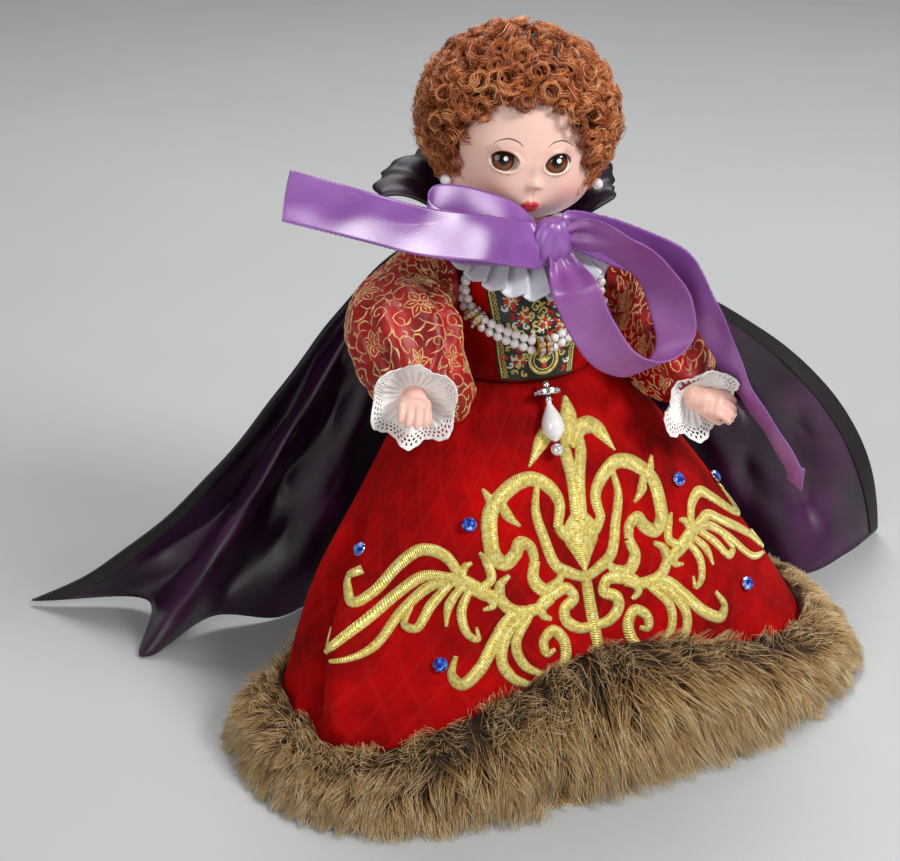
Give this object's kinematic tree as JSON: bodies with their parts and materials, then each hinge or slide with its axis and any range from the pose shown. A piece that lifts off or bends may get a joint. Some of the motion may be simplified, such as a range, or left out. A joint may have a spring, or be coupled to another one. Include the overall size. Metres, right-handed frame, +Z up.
{
  "type": "costume doll",
  "caption": "Standing costume doll with turning head, sleep eyes and strung limbs, in a fur-hemmed velvet gown with brocade sleeves, pleated ruff, pearls, satin bow and open lined cape.",
  "frame": {"origin": "middle of the footprint box, on the floor under the fur hem", "axes": "+Z up, the doll faces -Y, the doll's own left hand and the cape's span lie along +X"},
  "size_m": [0.2834, 0.1712, 0.1988],
  "materials": {
    "skin": "satin moulded skin",
    "elastic": "matte",
    "brass": "bright wire",
    "eye": "clear gloss over a painted iris",
    "weight": "dull grey",
    "hair": "short tight curls",
    "pearl": "pearl lustre",
    "crystal": "faceted clear",
    "blue_stone": "faceted blue",
    "velvet": "short pile",
    "brocade": "red with gold thread",
    "jacquard": "dark with gold and red thread",
    "lace": "open white lace",
    "cotton": "plain weave",
    "fur": "long brown pile with pale tips",
    "taffeta": "black outside, aubergine lining",
    "satin": "lilac satin",
    "shoe": "black gloss"
  },
  "bodies": {
    "dressed_body": {"torso_front": "skin", "torso_back": "skin", "arm_elastic": "elastic", "leg_elastic": "elastic", "neck_elastic": "elastic", "pearl_strand_upper_right": "pearl", "pearl_strand_lower_right": "pearl", "pearl_strand_upper_left": "pearl", "pearl_strand_lower_left": "pearl", "necklace_rondelle": "crystal", "skirt_stone_1": "blue_stone", "skirt_stone_2": "blue_stone", "skirt_stone_3": "blue_stone", "skirt_stone_4": "blue_stone", "skirt_stone_5": "blue_stone", "skirt_stone_6": "blue_stone", "bodice": "velvet", "skirt": "velvet", "bodice_panel": "jacquard", "ruff": "lace", "petticoat": "cotton", "fur_hem": "fur", "cape": "taffeta", "cape_collar": "taffeta", "ribbon_knot": "satin", "ribbon_tail_right": "satin", "ribbon_loop_right": "satin", "ribbon_loop_left": "satin", "ribbon_tail_left": "satin"},
    "head": {"head_face": "skin", "head_back": "skin", "neck_hook": "brass", "wig": "hair", "ear_stud_right": "pearl", "ear_stud_left": "pearl"},
    "eyes": {"eye_right": "eye", "eye_left": "eye", "eye_weight": "weight"},
    "right_arm": {"arm_right": "skin", "arm_hook_right": "brass", "sleeve_right": "brocade", "cuff_right": "lace"},
    "left_arm": {"arm_left": "skin", "arm_hook_left": "brass", "sleeve_left": "brocade", "cuff_left": "lace"},
    "right_leg": {"leg_right": "skin", "leg_hook_right": "brass", "shoe_right": "shoe"},
    "left_leg": {"leg_left": "skin", "leg_hook_left": "brass", "shoe_left": "shoe"},
    "pendant": {"pendant_rondelle": "crystal", "pearl_drop": "pearl", "pendant_bead": "crystal"}
  },
  "joints": [
    {"name": "head_turn", "type": "hinge", "parent": "dressed_body", "child": "head", "pos_m": [-0.0094, -0.0047, 0.143], "axis": [0, 0, 1], "range_deg": [-60, 60]},
    {"name": "eyes_sleep", "type": "hinge", "parent": "head", "child": "eyes", "pos_m": [-0.01465, -0.02043, 0.16548], "axis": [0.9611, -0.2622, -0.087], "range_deg": [0, 60]},
    {"name": "right_arm_swing", "type": "hinge", "parent": "dressed_body", "child": "right_arm", "pos_m": [-0.0094, -0.0047, 0.128], "axis": [-0.9877, 0.1564, 0], "range_deg": [-20, 35]},
    {"name": "left_arm_swing", "type": "hinge", "parent": "dressed_body", "child": "left_arm", "pos_m": [-0.0094, -0.0047, 0.128], "axis": [-0.9877, 0.1564, 0], "range_deg": [-6, 8]},
    {"name": "right_leg_swing", "type": "hinge", "parent": "dressed_body", "child": "right_leg", "pos_m": [-0.0094, -0.0047, 0.084], "axis": [-0.9877, 0.1564, 0], "range_deg": [0, 25]},
    {"name": "left_leg_swing", "type": "hinge", "parent": "dressed_body", "child": "left_leg", "pos_m": [-0.0094, -0.0047, 0.084], "axis": [-0.9877, 0.1564, 0], "range_deg": [0, 25]},
    {"name": "pendant_swing", "type": "hinge", "parent": "dressed_body", "child": "pendant", "pos_m": [-0.01308, -0.02908, 0.09992], "axis": [-0.9877, 0.1564, 0], "range_deg": [0, 45]}
  ]
}
